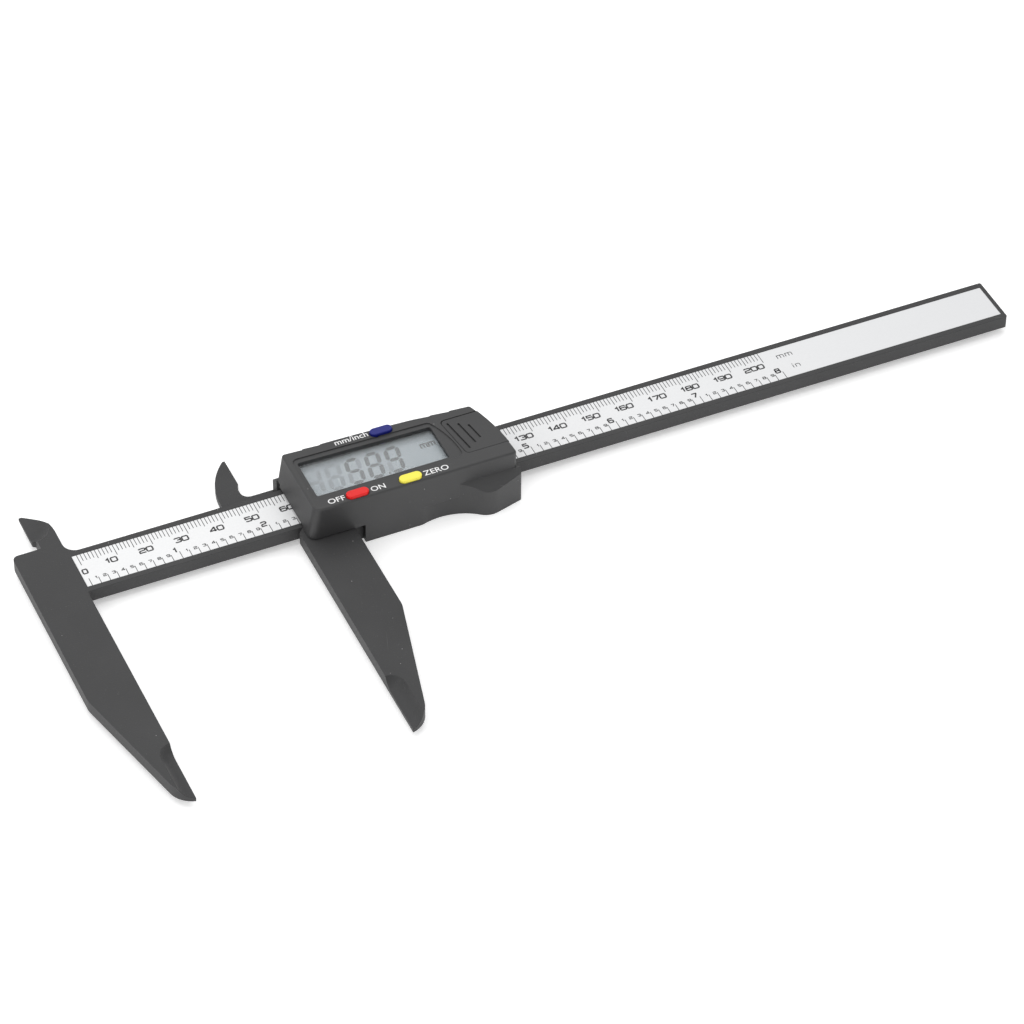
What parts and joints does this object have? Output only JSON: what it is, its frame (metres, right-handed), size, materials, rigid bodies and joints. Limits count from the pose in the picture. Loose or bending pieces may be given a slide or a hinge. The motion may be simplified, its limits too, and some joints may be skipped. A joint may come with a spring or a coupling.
{
  "type": "digital_caliper",
  "caption": "Digital caliper with long outside jaws, short inside jaws, a printed millimetre and inch scale, a display, three coloured buttons and a sliding battery cover",
  "frame": {"origin": "x=0 at the fixed outside measuring face, y=0 on the beam's centre line, z=0 on the beam's back face", "axes": "+X along the beam to its free end, +Y to the inside jaws, +Z out of the display"},
  "size_m": [0.287, 0.1147, 0.0172],
  "materials": {
    "dark_plastic": "fine moulded grain",
    "housing_plastic": "fine moulded grain",
    "label_white": "printed film",
    "board_green": "solder resist",
    "clear_lens": "clear",
    "display_glass": "display grey",
    "holder_plastic": "moulded",
    "rubber_grey": "soft",
    "reflector_paper": "matt",
    "chip_resin": "cured resin",
    "ceramic": "fired",
    "button_red": "moulded",
    "button_yellow": "moulded",
    "button_blue": "moulded",
    "cell_steel": "nickelled",
    "spring_steel": "rolled",
    "screw_steel": "zinc plated"
  },
  "bodies": {
    "beam": {"beam": "dark_plastic", "stator_strip": "board_green", "scale_label": "label_white"},
    "slider": {"slider_frame": "dark_plastic", "gib_spring": "spring_steel", "front_housing": "housing_plastic", "display_lens": "clear_lens", "display_glass": "display_glass", "display_holder": "holder_plastic", "contact_strips": "rubber_grey", "display_reflector": "reflector_paper", "main_board": "board_green", "board_screws": "screw_steel", "controller_chip": "chip_resin", "capacitors": "ceramic", "button_domes": "rubber_grey", "button_cell": "cell_steel", "negative_contact": "spring_steel", "positive_contact": "spring_steel", "housing_screws": "screw_steel"},
    "off_on_button": {"off_on_button": "button_red"},
    "zero_button": {"zero_button": "button_yellow"},
    "unit_button": {"unit_button": "button_blue"},
    "battery_cover": {"battery_cover": "housing_plastic"}
  },
  "joints": [
    {"name": "slider_travel", "type": "slide", "parent": "beam", "child": "slider", "axis": [1, 0, 0], "range_m": [-0.0589, 0.1411]},
    {"name": "off_on_press", "type": "slide", "parent": "slider", "child": "off_on_button", "axis": [0, 0, -1], "range_m": [0, 0.0006], "stiffness_N_per_m": 500, "springref_m": -0.001},
    {"name": "zero_press", "type": "slide", "parent": "slider", "child": "zero_button", "axis": [0, 0, -1], "range_m": [0, 0.0006], "stiffness_N_per_m": 500, "springref_m": -0.001},
    {"name": "unit_press", "type": "slide", "parent": "slider", "child": "unit_button", "axis": [0, 0, -1], "range_m": [0, 0.0006], "stiffness_N_per_m": 500, "springref_m": -0.001},
    {"name": "battery_cover_slide", "type": "slide", "parent": "slider", "child": "battery_cover", "axis": [1, 0, 0], "range_m": [0, 0.016]}
  ]
}
